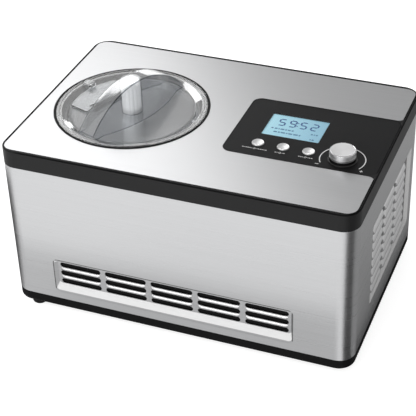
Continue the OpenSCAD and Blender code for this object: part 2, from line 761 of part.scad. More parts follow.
module filter_drier() color(copper) translate([60, -66, 42]) rotate([0, 90, 0]) {
  cylinder(r = 9, h = 56);
  translate([0, 0, -8]) cylinder(r1 = 3, r2 = 9, h = 8);
  translate([0, 0, 56]) cylinder(r1 = 9, r2 = 3, h = 8);
}

liquid_x = 5.5;
liquid_y = -21.4;

module refrigerant_lines() color(copper) {
  at_bowl() rotate([0, 0, 22.4]) pipe_x(coil_ring + coil_r, 123, 0, 148, 3);
  at_bowl() rotate([0, 0, -8]) pipe_x(coil_ring + coil_r, 109, 0, 104, 3);
  pipe_z(liquid_x, liquid_y, 42, 104, 3);
  bend(liquid_x, liquid_y, 104, 3);
  bend(liquid_x, liquid_y, 42, 3);
  pipe_y(liquid_x, -66, liquid_y, 42, 3);
  bend(liquid_x, -66, 42, 3);
  pipe_x(liquid_x, 52, -66, 42, 3);
  pipe_x(124, cond_x, -66, 42, 3);
  bend(cond_x, -66, 42, 3);
  pipe_z(cond_x, -66, 42, 48, 3);
  bend(cond_x, -66, 48, 3);
  pipe_x(comp_x + comp_r, 112, comp_y, 120, 3);
  pipe_z(112, comp_y, 120, 172, 3);
  bend(112, comp_y, 120, 3);
  bend(112, comp_y, 172, 3);
  pipe_x(112, cond_x, comp_y, 172, 3);
  bend(cond_x, comp_y, 172, 3);
  pipe_y(cond_x, comp_y, 96, 172, 3);
  bend(cond_x, 96, 172, 3);
  pipe_z(cond_x, 96, 152, 172, 3);
}

module power_inlet() color(black) translate([inlet_x, body_d / 2 - sheet_t, inlet_z]) rotate([90, 0, 0]) {
  difference() {
    union() {
      translate([0, 0, -eps]) linear_extrude(28) rrect(27.4, 20.4, 3);
      translate([0, 0, -sheet_t]) linear_extrude(sheet_t) rrect(48, 24, 4);
    }
    translate([0, 0, -4]) linear_extrude(20) rrect(24, 16.6, 3);
    for (s = [-1, 1]) translate([s * 20, 0, 0]) {
      translate([0, 0, -5]) cylinder(r = 1.7, h = 10);
      translate([0, 0, -sheet_t]) cylinder(r1 = 3, r2 = 1.7, h = sheet_t);
    }
  }
}

module inlet_pins() for (p = [[-7, -2], [0, 2], [7, -2]])
  translate([p[0] - 1, p[1] - 2, 5.2]) cube([2, 4, 10.8]);

module inlet_screws() color(steel) translate([inlet_x, body_d / 2 - sheet_t, inlet_z]) rotate([90, 0, 0]) {
  for (s = [-1, 1]) translate([s * 20, 0, 0]) {
    translate([0, 0, -sheet_t]) cylinder(r1 = 3, r2 = 1.7, h = sheet_t);
    translate([0, 0, -eps]) cylinder(r = 1.7, h = 7);
  }
  inlet_pins();
}

module power_board() color([0.05, 0.3, 0.14]) {
  difference() {
    translate([112, 126, 80]) cube([80, 1.6, 80]);
    for (x = [116, 188], z = [84, 156]) translate([x, 120, z]) rotate([-90, 0, 0]) cylinder(r = 1.6, h = 12);
  }
  translate([125, 112, 100]) cube([24, 14 + eps, 20]);
  translate([165, 106, 100]) cube([14, 20 + eps, 26]);
  translate([140, 126 + eps, 142]) rotate([90, 0, 0]) cylinder(r = 7, h = 16);
}

module board_spacers() color([0.9, 0.9, 0.88]) for (x = [116, 188], z = [84, 156])
  translate([x, 127.6, z]) rotate([-90, 0, 0]) cylinder(r = 3, h = body_d / 2 - sheet_t - 1 - 127.6);

base_tray();
feet();
foot_screws();
casing();
rear_panel();
rear_screws();
top_frame();
top_panel();
opening_ring();
front_grille();
side_grille();
control_fascia();
lcd_window();
lcd_module();
button_left();
button_middle();
button_right();
tact_switches();
control_board();
board_screws();
encoder_body();
encoder_shaft();
knob_collar();
knob_core();
knob_cap();
lid();
refill_flap();
flap_pin();
bowl();
paddle();
cooling_well();
evaporator_coil();
insulation();
drive_shaft();
drive_bearing();
shaft_seal();
drive_pulley();
drive_belt();
motor_shaft();
motor_pulley();
drive_motor();
drive_bracket();
bracket_posts();
compressor();
compressor_grommets();
compressor_bolts();
condenser_fins();
condenser_tube();
fan_shroud();
fan_blade();
fan_motor();
fan_bracket();
filter_drier();
refrigerant_lines();
power_inlet();
inlet_screws();
power_board();
board_spacers();
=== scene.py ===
import json
import math

import bmesh
import bpy
from mathutils import Matrix, Vector


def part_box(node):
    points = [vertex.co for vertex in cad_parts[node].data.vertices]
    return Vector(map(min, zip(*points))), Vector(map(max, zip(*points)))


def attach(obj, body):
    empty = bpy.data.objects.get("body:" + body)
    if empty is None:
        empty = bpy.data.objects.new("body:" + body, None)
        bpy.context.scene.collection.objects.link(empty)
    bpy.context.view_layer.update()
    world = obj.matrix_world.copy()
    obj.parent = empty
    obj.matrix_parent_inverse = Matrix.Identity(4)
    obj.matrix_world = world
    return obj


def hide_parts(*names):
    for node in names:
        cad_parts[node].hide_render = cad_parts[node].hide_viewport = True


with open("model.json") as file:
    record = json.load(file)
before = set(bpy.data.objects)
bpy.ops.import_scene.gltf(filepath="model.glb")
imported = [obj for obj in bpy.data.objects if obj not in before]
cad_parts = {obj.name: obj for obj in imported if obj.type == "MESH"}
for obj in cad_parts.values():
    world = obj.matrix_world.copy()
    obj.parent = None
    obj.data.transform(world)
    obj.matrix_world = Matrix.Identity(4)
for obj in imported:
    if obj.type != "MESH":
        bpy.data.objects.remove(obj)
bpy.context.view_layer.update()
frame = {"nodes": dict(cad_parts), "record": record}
nodes = frame["nodes"]
scene = bpy.context.scene
MM = 0.001


# ---------------------------------------------------------------- positions from the frame
def centre(node):
    lo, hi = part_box(node)
    return (lo + hi) / 2


def low(node):
    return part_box(node)[0] / MM


def high(node):
    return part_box(node)[1] / MM


BOWL = centre("bowl") / MM
TOP = high("top_frame").z
KNOB = centre("knob_cap") / MM
LCD_LO, LCD_HI = low("lcd_window"), high("lcd_window")
FASCIA_Z = high("control_fascia").z
ARCH_TURN = math.radians(-18.6)
ACRYLIC_IOR = 1.49


# ---------------------------------------------------------------- node material helpers
def new_mat(name):
    m = bpy.data.materials.new(name)
    m.use_nodes = True
    nt = m.node_tree
    bsdf = nt.nodes["Principled BSDF"]
    return m, nt, bsdf


def coords(nt, scale=(1, 1, 1)):
    tc = nt.nodes.new("ShaderNodeTexCoord")
    mp = nt.nodes.new("ShaderNodeMapping")
    mp.inputs["Scale"].default_value = scale
    nt.links.new(tc.outputs["Object"], mp.inputs["Vector"])
    return mp.outputs["Vector"]


def noise(nt, vec, scale, detail=3, rough=0.6):
    n = nt.nodes.new("ShaderNodeTexNoise")
    n.inputs["Scale"].default_value = scale
    n.inputs["Detail"].default_value = detail
    n.inputs["Roughness"].default_value = rough
    nt.links.new(vec, n.inputs["Vector"])
    return n.outputs["Fac"]


def spread(nt, fac, lo, hi, a=0.3, b=0.7):
    r = nt.nodes.new("ShaderNodeMapRange")
    r.inputs["From Min"].default_value = a
    r.inputs["From Max"].default_value = b
    r.inputs["To Min"].default_value = lo
    r.inputs["To Max"].default_value = hi
    nt.links.new(fac, r.inputs["Value"])
    return r.outputs["Result"]


def ramp(nt, fac, stops):
    r = nt.nodes.new("ShaderNodeValToRGB")
    e = r.color_ramp.elements
    while len(e) < len(stops):
        e.new(0.5)
    for el, (p, c) in zip(e, stops):
        el.position = p
        el.color = (*c, 1)
    nt.links.new(fac, r.inputs["Fac"])
    return r.outputs["Color"]


def bump(nt, bsdf, height, strength, distance):
    b = nt.nodes.new("ShaderNodeBump")
    b.inputs["Strength"].default_value = strength
    b.inputs["Distance"].default_value = distance
    nt.links.new(height, b.inputs["Height"])
    nt.links.new(b.outputs["Normal"], bsdf.inputs["Normal"])


def brushed(name, dark, light, rough, streak, axis="X", metal=1.0, aniso=0.6):
    m, nt, bsdf = new_mat(name)
    vec = coords(nt, streak)
    fine = noise(nt, vec, 1.0, 4, 0.65)
    nt.links.new(ramp(nt, fine, [(0.25, dark), (0.75, light)]), bsdf.inputs["Base Color"])
    nt.links.new(spread(nt, fine, rough - 0.035, rough + 0.035), bsdf.inputs["Roughness"])
    bsdf.inputs["Metallic"].default_value = metal
    bsdf.inputs["Anisotropic"].default_value = aniso
    if axis == "X":
        t = nt.nodes.new("ShaderNodeCombineXYZ")
        t.inputs["X"].default_value = 1.0
        nt.links.new(t.outputs["Vector"], bsdf.inputs["Tangent"])
    elif axis == "wrap":
        g = nt.nodes.new("ShaderNodeNewGeometry")
        c = nt.nodes.new("ShaderNodeVectorMath")
        c.operation = "CROSS_PRODUCT"
        c.inputs[1].default_value = (0, 0, 1)
        nt.links.new(g.outputs["Normal"], c.inputs[0])
        nt.links.new(c.outputs["Vector"], bsdf.inputs["Tangent"])
    bump(nt, bsdf, fine, 0.12, 0.00002)
    return m


def plastic(name, dark, light, rough, grain=2600, strength=0.12, spec=0.5):
    m, nt, bsdf = new_mat(name)
    vec = coords(nt)
    cloud = noise(nt, vec, 22, 4, 0.6)
    nt.links.new(ramp(nt, cloud, [(0.3, dark), (0.7, light)]), bsdf.inputs["Base Color"])
    nt.links.new(spread(nt, cloud, rough - 0.03, rough + 0.03), bsdf.inputs["Roughness"])
    bsdf.inputs["Specular IOR Level"].default_value = spec
    bump(nt, bsdf, noise(nt, vec, grain, 2, 0.5), strength, 0.00003)
    return m


def clear(name, face, edge, rough, mirror=0.04):
    """Clear plastic in a thin wall: it mirrors more towards its edges and lets the rest through."""
    m, nt, bsdf = new_mat(name)
    nt.nodes.remove(bsdf)
    cloud = noise(nt, coords(nt), 30, 3, 0.5)
    weight = nt.nodes.new("ShaderNodeLayerWeight")
    weight.inputs["Blend"].default_value = 0.5
    through = nt.nodes.new("ShaderNodeBsdfTransparent")
    tint = ramp(nt, weight.outputs["Facing"], [(0.72, face), (1.0, edge)])
    nt.links.new(tint, through.inputs["Color"])
    gloss = nt.nodes.new("ShaderNodeBsdfGlossy")
    gloss.inputs["Color"].default_value = (1, 1, 1, 1)
    nt.links.new(spread(nt, cloud, rough * 0.8, rough * 1.2), gloss.inputs["Roughness"])
    fifth = nt.nodes.new("ShaderNodeMath")
    fifth.operation = "POWER"
    fifth.inputs[1].default_value = 5.0
    nt.links.new(weight.outputs["Facing"], fifth.inputs[0])
    mix = nt.nodes.new("ShaderNodeMixShader")
    nt.links.new(spread(nt, fifth.outputs["Value"], mirror, 1.0, 0.0, 1.0), mix.inputs["Fac"])
    nt.links.new(through.outputs["BSDF"], mix.inputs[1])
    nt.links.new(gloss.outputs["BSDF"], mix.inputs[2])
    nt.links.new(mix.outputs["Shader"], nt.nodes["Material Output"].inputs["Surface"])
    return m


def frosted(name, tint_a, tint_b, rough, shade):
    """Slightly matt clear plastic that blurs what is behind it, and lets the lamps through."""
    m, nt, bsdf = new_mat(name)
    cloud = noise(nt, coords(nt), 30, 3, 0.5)
    nt.links.new(ramp(nt, cloud, [(0.3, tint_a), (0.7, tint_b)]), bsdf.inputs["Base Color"])
    nt.links.new(spread(nt, cloud, rough * 0.8, rough * 1.2), bsdf.inputs["Roughness"])
    bsdf.inputs["Transmission Weight"].default_value = 1.0
    bsdf.inputs["IOR"].default_value = ACRYLIC_IOR
    path = nt.nodes.new("ShaderNodeLightPath")
    through = nt.nodes.new("ShaderNodeBsdfTransparent")
    through.inputs["Color"].default_value = (*shade, 1)
    mix = nt.nodes.new("ShaderNodeMixShader")
    nt.links.new(path.outputs["Is Shadow Ray"], mix.inputs["Fac"])
    nt.links.new(bsdf.outputs["BSDF"], mix.inputs[1])
    nt.links.new(through.outputs["BSDF"], mix.inputs[2])
    nt.links.new(mix.outputs["Shader"], nt.nodes["Material Output"].inputs["Surface"])
    return m


def display(name, left, right, glow):
    """The lit face of the display, paler at its left end."""
    m, nt, bsdf = new_mat(name)
    sep = nt.nodes.new("ShaderNodeSeparateXYZ")
    nt.links.new(coords(nt), sep.inputs["Vector"])
    along = spread(nt, sep.outputs["X"], 0.0, 1.0, LCD_LO.x * MM, LCD_HI.x * MM)
    colour = ramp(nt, along, [(0.0, left), (1.0, right)])
    nt.links.new(colour, bsdf.inputs["Base Color"])
    nt.links.new(colour, bsdf.inputs["Emission Color"])
    nt.links.new(spread(nt, noise(nt, coords(nt), 400, 2), 0.42, 0.5), bsdf.inputs["Roughness"])
    bsdf.inputs["Emission Strength"].default_value = glow
    return m


def paint_hub_glow(m, z, strength):
    """Paints a glow into the white plastic above a height in mm: painted light that keeps the part
    behind the clear lid bright.
    """
    fade = 6
    nt = m.node_tree
    bsdf = nt.nodes["Principled BSDF"]
    sep = nt.nodes.new("ShaderNodeSeparateXYZ")
    nt.links.new(coords(nt), sep.inputs["Vector"])
    bsdf.inputs["Emission Color"].default_value = (1, 1, 1, 1)
    glow = spread(nt, sep.outputs["Z"], 0.0, strength, z * MM, (z + fade) * MM)
    nt.links.new(glow, bsdf.inputs["Emission Strength"])


def pressed(name, dark, light, rough, metal=1.0):
    """Pressed sheet, too small in its faces to show a direction of brushing."""
    return brushed(name, dark, light, rough, (60, 60, 900), "none", metal, 0.0)


STEEL_TOP = brushed("steel_top", (0.53, 0.533, 0.54), (0.61, 0.613, 0.62), 0.33,
                    (2.5, 1900, 1900))
STEEL_WRAP = brushed("steel_wrap", (0.47, 0.473, 0.48), (0.53, 0.533, 0.54), 0.30,
                     (2.5, 2.5, 1900), "wrap")
STEEL_VENT = pressed("steel_vent", (0.43, 0.433, 0.44), (0.49, 0.493, 0.50), 0.33)
# painted highlight: a much lighter copy of the vent steel, for the front vent's faces that look up
STEEL_LIP_PAINTED_LIGHT = pressed("steel_vent_painted_highlight", (0.86, 0.86, 0.865), (0.92, 0.92, 0.925), 0.36)
# painted highlight: a pale matt copy of the vent steel, for the front vent's lower bevel
STEEL_BEVEL_PAINTED_LIGHT = pressed("steel_vent_bevel_painted_highlight", (0.73, 0.73, 0.73), (0.79, 0.79, 0.79), 0.45, 0.0)
# painted shade: a near-black copy of the vent steel, for the strips along the front vent's top and
# sides
STEEL_EDGE_PAINTED_SHADE = pressed("steel_vent_edge_painted_shade", (0.12, 0.12, 0.122), (0.16, 0.16, 0.162), 0.4)
# painted light: a matt, lighter copy of the louvre steel, for the side vent's lower and back bevels
STEEL_LOUVRE_BEVEL_PAINTED_LIGHT = pressed("steel_louvre_bevel_painted_light", (0.44, 0.44, 0.44), (0.50, 0.50, 0.50), 0.45, 0.0)
# painted shade: a dark copy of the louvre steel, for the flat floor of the side vent's recess
STEEL_RECESS_PAINTED_SHADE = pressed("steel_louvre_recess_painted_shade", (0.15, 0.15, 0.153), (0.20, 0.20, 0.203), 0.4)
STEEL_LOUVRE = pressed("steel_louvre", (0.40, 0.40, 0.405), (0.46, 0.46, 0.465), 0.33)
# painted highlight: a lighter copy of the louvre steel, for the side vent's faces that look up
STEEL_LOUVRE_PAINTED_LIGHT = pressed("steel_louvre_painted_highlight", (0.74, 0.74, 0.745), (0.80, 0.80, 0.805), 0.36)
# painted shade: a darker copy of the vent steel, for faces of both vents that look down or sideways
STEEL_SHADE = pressed("steel_vent_painted_shade", (0.30, 0.30, 0.305), (0.36, 0.36, 0.365), 0.36)
ALU_TURNED = brushed("alu_turned", (0.86, 0.86, 0.865), (0.90, 0.90, 0.905), 0.42,
                     (900, 900, 2400), "none", 1.0, 0.2)
ALU_EDGE = brushed("alu_bright_edge", (0.90, 0.90, 0.91), (0.95, 0.95, 0.955), 0.14,
                   (200, 200, 900), "none", 1.0, 0.0)
ALU_BOWL = brushed("alu_bowl", (0.66, 0.66, 0.67), (0.74, 0.74, 0.75), 0.42,
                   (6, 6, 500), "none", 1.0, 0.2)
ZINC = brushed("zinc_plate", (0.55, 0.55, 0.54), (0.7, 0.7, 0.69), 0.35,
               (60, 60, 60), "none", 1.0, 0.0)
COPPER = brushed("copper_tube", (0.7, 0.33, 0.2), (0.85, 0.45, 0.3), 0.3,
                 (40, 40, 40), "none", 1.0, 0.0)
BRONZE = brushed("bronze", (0.5, 0.36, 0.18), (0.62, 0.46, 0.25), 0.4,
                 (80, 80, 80), "none", 1.0, 0.0)
BLACK_CASE = plastic("black_case", (0.009, 0.009, 0.0093), (0.011, 0.011, 0.0114), 0.45,
                     spec=0.17)
BLACK_BASE = plastic("black_base", (0.004, 0.004, 0.0042), (0.006, 0.006, 0.0063), 0.6,
                     spec=0.06)
BLACK_FASCIA = plastic("black_fascia", (0.0065, 0.0065, 0.007), (0.009, 0.009, 0.0095), 0.42,
                       3000, 0.06, 0.12)
BLACK_GLOSS = plastic("black_gloss", (0.006, 0.006, 0.006), (0.009, 0.009, 0.009), 0.16,
                      2000, 0.03)
BLACK_RUBBER = plastic("black_rubber", (0.006, 0.006, 0.006), (0.012, 0.012, 0.012), 0.6,
                       1800, 0.2, 0.25)
WHITE_PLASTIC = plastic("white_plastic", (0.90, 0.90, 0.90), (0.95, 0.95, 0.95), 0.3, 1500, 0.04)
# painted light: the white plastic glows above just under the top panel's height, so the part under
# the lid reads bright
paint_hub_glow(WHITE_PLASTIC, high("top_panel").z - 2, 0.4)
NYLON = plastic("nylon", (0.6, 0.6, 0.56), (0.72, 0.72, 0.68), 0.45)
FOAM = plastic("foam_block", (0.62, 0.55, 0.36), (0.75, 0.68, 0.48), 0.9, 900, 0.6, 0.2)
BOARD = plastic("board_mask", (0.02, 0.12, 0.05), (0.03, 0.17, 0.08), 0.35)
PAINT_GREY = plastic("paint_grey", (0.12, 0.12, 0.13), (0.17, 0.17, 0.18), 0.4)
PAINT_BLACK = plastic("paint_black", (0.012, 0.012, 0.012), (0.02, 0.02, 0.02), 0.28)
PRINT_WHITE = plastic("print_white", (0.80, 0.80, 0.80), (0.88, 0.88, 0.88), 0.5, 4000, 0.05)
DIGIT_INK = plastic("digit_ink", (0.028, 0.11, 0.33), (0.04, 0.135, 0.37), 0.5, 4000, 0.02, 0.2)
FAINT_INK = plastic("faint_ink", (0.11, 0.28, 0.47), (0.14, 0.32, 0.51), 0.5, 4000, 0.02, 0.2)
LID_CLEAR = clear("lid_clear_plastic", (0.992, 0.995, 0.996), (0.5, 0.53, 0.55), 0.02, 0.09)
LID_CREST = clear("lid_crest_plastic", (0.985, 0.99, 0.992), (0.6, 0.63, 0.65), 0.16, 0.30)
LID_BOSS = clear("lid_boss_plastic", (0.99, 0.993, 0.995), (0.6, 0.63, 0.65), 0.03, 0.10)
LID_WALL = clear("lid_wall_plastic", (0.86, 0.868, 0.878), (0.42, 0.44, 0.46), 0.02, 0.05)
LID_SLOPE = clear("lid_slope_plastic", (0.985, 0.99, 0.992), (0.6, 0.63, 0.65), 0.06, 0.34)
# painted shade: clear plastic tinted dark, for the dark lines along the lid ridge's foot and round
# corners
LID_EDGE_PAINTED_SHADE = clear("lid_edge_painted_shade", (0.36, 0.38, 0.40), (0.22, 0.24, 0.25), 0.05, 0.06)
LID_FLOOR = frosted("lid_floor_plastic", (0.92, 0.935, 0.945), (0.95, 0.96, 0.97), 0.2,
                    (0.8, 0.81, 0.82))
LENS_CLEAR = clear("lens_clear", (0.97, 0.985, 0.99), (0.7, 0.75, 0.78), 0.03, 0.03)
DISPLAY = display("display_face", (0.45, 0.74, 0.84), (0.28, 0.51, 0.64), 0.29)

FINISH = {
    "case_black": BLACK_CASE, "foot_rubber": BLACK_RUBBER, "screw_steel": ZINC,
    "case_steel": STEEL_WRAP, "fascia_black": BLACK_FASCIA, "lcd_lens": LENS_CLEAR,
    "lcd_panel": PAINT_GREY, "button_silver": ALU_TURNED, "knob_silver": ALU_TURNED,
    "ring_black": BLACK_RUBBER, "lid_clear": LID_CLEAR, "bowl_metal": ALU_BOWL,
    "paddle_white": WHITE_PLASTIC, "well_metal": ALU_BOWL, "copper": COPPER, "foam": FOAM,
    "shaft_steel": ZINC, "bearing_bronze": BRONZE, "pulley_nylon": NYLON,
    "belt_rubber": BLACK_RUBBER, "motor_grey": PAINT_GREY, "bracket_steel": ZINC,
    "compressor_black": PAINT_BLACK, "fin_aluminium": ALU_BOWL, "board_green": BOARD,
    "pin_metal": ZINC,
}
SLOT_OF = {s["node"]: s["material_slot"] for s in frame["record"]["subparts"]}
OWN_FINISH = {"top_panel": STEEL_TOP, "base_tray": BLACK_BASE, "feet": BLACK_BASE,
              "refill_flap": LID_FLOOR}
for name, node in nodes.items():
    node.data.materials.clear()
    node.data.materials.append(OWN_FINISH.get(name, FINISH[SLOT_OF[name]]))


# ---------------------------------------------------------------- mesh helpers
LARGE_FLAT = 4e-5  # square metres
FLAT_BORDER = 3  # degrees


def finish_mesh(name, bm, mat, body, sharp=38, crisp=False):
    """Shades smooth except over sharp edges; crisp keeps the borders of large flats sharp too."""
    bmesh.ops.remove_doubles(bm, verts=bm.verts, dist=1e-7)
    bmesh.ops.recalc_face_normals(bm, faces=bm.faces)
    for f in bm.faces:
        f.smooth = True
    for e in bm.edges:
        if len(e.link_faces) == 2:
            large = crisp and max(f.calc_area() for f in e.link_faces) > LARGE_FLAT
            if e.calc_face_angle(0) > math.radians(FLAT_BORDER if large else sharp):
                e.smooth = False
        elif crisp:
            e.smooth = False
    me = bpy.data.meshes.new(name)
    bm.to_mesh(me)
    bm.free()
    ob = bpy.data.objects.new(name, me)
    scene.collection.objects.link(ob)
    me.materials.append(mat)
    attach(ob, body)
    return ob


def soften(points, steps=5):
    """Rounds the corners of a closed outline of (x, y, radius)."""
    out = []
    n = len(points)
    for i, (x, y, r) in enumerate(points):
        if r <= 0:
            out.append((x, y))
            continue
        p, a, b = Vector((x, y)), Vector(points[i - 1][:2]), Vector(points[(i + 1) % n][:2])
        u, v = (a - p).normalized(), (b - p).normalized()
        half = u.angle(v) / 2
        cut = min(r / math.tan(half), (a - p).length * 0.49, (b - p).length * 0.49)
        s, e = p + u * cut, p + v * cut
        for k in range(steps + 1):
            t = k / steps
            out.append(tuple((1 - t) ** 2 * s + 2 * t * (1 - t) * p + t * t * e))
    return out


def lathe(bm, profile, cx, cy, n=128):
    """Turns a closed outline of (radius, height) in millimetres round an upright axis."""
    turns = [(math.cos(2 * math.pi * i / n), math.sin(2 * math.pi * i / n)) for i in range(n)]
    rings = [[bm.verts.new(((cx + r * c) * MM, (cy + r * s) * MM, z * MM)) for c, s in turns]
             for r, z in profile]
    for a, b in zip(rings, rings[1:] + rings[:1]):
        for i in range(n):
            j = (i + 1) % n
            bm.faces.new((a[i], a[j], b[j], b[i]))


def prism(bm, outline, z0, z1):
    """An upright solid from an outline of (x, y) in millimetres."""
    lo = [bm.verts.new((x * MM, y * MM, z0 * MM)) for x, y in outline]
    hi = [bm.verts.new((x * MM, y * MM, z1 * MM)) for x, y in outline]
    bm.faces.new(lo[::-1])
    bm.faces.new(hi)
    n = len(outline)
    for i in range(n):
        j = (i + 1) % n
        bm.faces.new((lo[i], lo[j], hi[j], hi[i]))


def rounded(x0, x1, y0, y1, r, steps=6):
    return soften([(x0, y0, r), (x1, y0, r), (x1, y1, r), (x0, y1, r)], steps)


def holed_plate(bm, outline, holes, z0, z1):
    """A flat plate between two heights, from an outline and the outlines of its holes."""
    caps = []
    for z in (z0, z1):
        edges = []
        rings = []
        for loop in [outline] + holes:
            vs = [bm.verts.new((x * MM, y * MM, z * MM)) for x, y in loop]
            rings.append(vs)
            edges += [bm.edges.new((vs[i], vs[(i + 1) % len(vs)])) for i in range(len(vs))]
        bmesh.ops.triangle_fill(bm, edges=edges, use_beauty=True)
        caps.append(rings)
    for lo, hi in zip(*caps):
        for i in range(len(lo)):
            j = (i + 1) % len(lo)
            bm.faces.new((lo[i], lo[j], hi[j], hi[i]))


def band(bm, outer, z_outer, inner, z_inner, drop):
    """A closed sloping rim between two outlines that have the same number of points."""
    rows = []
    for loop, z in ((outer, z_outer), (inner, z_inner),
                    (inner, z_inner - drop), (outer, z_outer - drop)):
        rows.append([bm.verts.new((x * MM, y * MM, z * MM)) for x, y in loop])
    n = len(outer)
    for a, b in zip(rows, rows[1:] + rows[:1]):
        for i in range(n):
            j = (i + 1) % n
            bm.faces.new((a[i], a[j], b[j], b[i]))


def pressing(bm, x0, x1, y_base, y_lip, rise, end, z, shape, steps_x=26, steps_y=10):
    """A pressed bulge across a plate, with soft ends: shape gives its height, 0 to 1, across it."""
    under = 0.6
    top, bottom = [], []
    for i in range(steps_x + 1):
        t = i / steps_x
        x = x0 + (x1 - x0) * t
        ease = math.sin(min(1.0, min(t, 1 - t) * (x1 - x0) / end) * math.pi / 2)
        cells = [(y_base + (y_lip - y_base) * j / steps_y, z + rise * ease * shape(j / steps_y))
                 for j in range(steps_y + 1)]
        top.append([bm.verts.new((x * MM, y * MM, h * MM)) for y, h in cells])
        bottom.append([bm.verts.new((x * MM, y * MM, (h - under) * MM)) for y, h in cells])
    for i in range(steps_x):
        for j in range(steps_y):
            bm.faces.new((top[i][j], top[i + 1][j], top[i + 1][j + 1], top[i][j + 1]))
            bm.faces.new((bottom[i][j], bottom[i][j + 1], bottom[i + 1][j + 1], bottom[i + 1][j]))
        for j in (0, steps_y):
            bm.faces.new((top[i][j], bottom[i][j], bottom[i + 1][j], top[i + 1][j]))
    for i in (0, steps_x):
        for j in range(steps_y):
            bm.faces.new((top[i][j], top[i][j + 1], bottom[i][j + 1], bottom[i][j]))


def crowned(t):
    """A bulge that is highest in its middle."""
    return math.sin(math.pi * t) ** 0.75


def hooded(t):
    """A bulge that rises to a lip near its far edge."""
    return math.sin(min(1.0, t * 1.15) * math.pi / 2) * (1 if t < 0.92 else 1 - (t - 0.92) * 2.5)


def paint_light_by_facing(piece, across, mats):
    """Adds finishes: the second, a painted-highlight copy, for faces that look up; the third, a
    painted-shade copy, for faces that look down or along an axis.
    """
    for m in mats:
        piece.data.materials.append(m)
    for f in piece.data.polygons:
        if f.normal.z > 0.12:
            f.material_index = 1
        elif f.normal.dot(across) > 0.3 or f.normal.z < -0.45:
            f.material_index = 2


def slot_outline(cx, cy, w, h, n=10):
    """A slot with round ends, as an outline."""
    pts = []
    for s in (1, -1):
        for k in range(n + 1):
            a = math.pi * (k / n - 0.5)
            pts.append((cx + s * ((w - h) / 2 + h / 2 * math.cos(a)),
                        cy + s * h / 2 * math.sin(a)))
    return pts


# ---------------------------------------------------------------- front vent
# drawn flat, x to the right and y up the panel, then stood up in the front of the case
VENT_LO, VENT_HI = low("front_grille"), high("front_grille")
CASE_LO, CASE_HI = low("casing"), high("casing")
HIDDEN_EDGE = 5  # the part of the pressing that lies behind the case's steel
VENT_X0, VENT_X1 = VENT_LO.x + HIDDEN_EDGE, VENT_HI.x - HIDDEN_EDGE
VENT_Z0, VENT_Z1 = VENT_LO.z + HIDDEN_EDGE, VENT_HI.z - HIDDEN_EDGE
FLANGE_SIDE, FLANGE_FOOT, FLANGE_TOP, FLANGE_DROP = 1.2, 2.8, 1.4, 0.12
SHELF_LEFT, SHELF_RIGHT, SHELF_FOOT, SHELF_TOP = 4.5, 3.5, 11.0, 2.6
LOWEST_SLOT = 32.9  # below the top of the vent
SLOT_W, SLOT_H, SLOT_PITCH = 52.5, 6.7, 11.8
COLUMN_PITCH, COLUMNS_MID = 58.4, 0.65
VENT_DEEP = 4.0
SHEET_T = 0.7
RECESS = 0.1  # both vents sit this far inside the case's outer faces
PAINTED_BEVEL_LIGHT_SLOT, PAINTED_SHADE_SLOT = 3, 4  # material slots of both vents, after paint_light_by_facing's two: bevels with painted highlight, and strips and recesses with painted shade


def front_vent():
    bm = bmesh.new()
    mid = (VENT_X0 + VENT_X1) / 2 + COLUMNS_MID
    slot_z = [VENT_Z1 - LOWEST_SLOT + k * SLOT_PITCH for k in range(3)]
    outer = rounded(VENT_X0, VENT_X1, VENT_Z0, VENT_Z1, 6)
    flange = rounded(VENT_X0 + FLANGE_SIDE, VENT_X1 - FLANGE_SIDE,
                     VENT_Z0 + FLANGE_FOOT, VENT_Z1 - FLANGE_TOP, 5.2)
    shelf = rounded(VENT_X0 + SHELF_LEFT, VENT_X1 - SHELF_RIGHT,
                    VENT_Z0 + SHELF_FOOT, VENT_Z1 - SHELF_TOP, 4)
    band(bm, outer, 0, flange, -FLANGE_DROP, SHEET_T)
    band(bm, flange, -FLANGE_DROP, shelf, -VENT_DEEP, SHEET_T)
    columns = [mid + (i - 2) * COLUMN_PITCH for i in range(5)]
    holes = [slot_outline(x, z, SLOT_W, SLOT_H) for x in columns for z in slot_z]
    holed_plate(bm, shelf, holes, -VENT_DEEP - SHEET_T, -VENT_DEEP)
    inset, rise, soft_end = 1.2, 1.6, 3.0
    for x in columns:
        for z in slot_z[1:]:
            pressing(bm, x - SLOT_W / 2 + inset, x + SLOT_W / 2 - inset, z - SLOT_H / 2,
                     z - SLOT_PITCH + SLOT_H / 2, rise, soft_end, -VENT_DEEP, crowned)
    front = ((1, 0, 0, 0), (0, 0, -1, (CASE_LO.y + RECESS) * MM), (0, 1, 0, 0), (0, 0, 0, 1))
    bm.transform(Matrix(front))
    piece = finish_mesh("front_vent_pressing", bm, STEEL_VENT, "housing", 50, True)
    # painted light and shade by facing: lighter steel on faces that look up, darker on faces that
    # look down or to the right
    paint_light_by_facing(piece, Vector((1, 0, 0)), (STEEL_LIP_PAINTED_LIGHT, STEEL_SHADE, STEEL_BEVEL_PAINTED_LIGHT, STEEL_EDGE_PAINTED_SHADE))
    # painted shade on the strips along the opening's top and sides; painted highlight on the
    # sloping bevel below the shelf
    for f in piece.data.polygons:
        spot = f.center / MM
        on_side = not VENT_X0 + FLANGE_SIDE < spot.x < VENT_X1 - FLANGE_SIDE
        below_shelf = VENT_Z0 + FLANGE_FOOT < spot.z < VENT_Z0 + SHELF_FOOT
        if (spot.z > VENT_Z1 - FLANGE_TOP or on_side) and f.normal.y < -0.5:
            f.material_index = PAINTED_SHADE_SLOT
        elif below_shelf and 0.2 < abs(f.normal.z) < 0.9 and spot.y < CASE_LO.y + VENT_DEEP:
            f.material_index = PAINTED_BEVEL_LIGHT_SLOT
    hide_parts("front_grille")


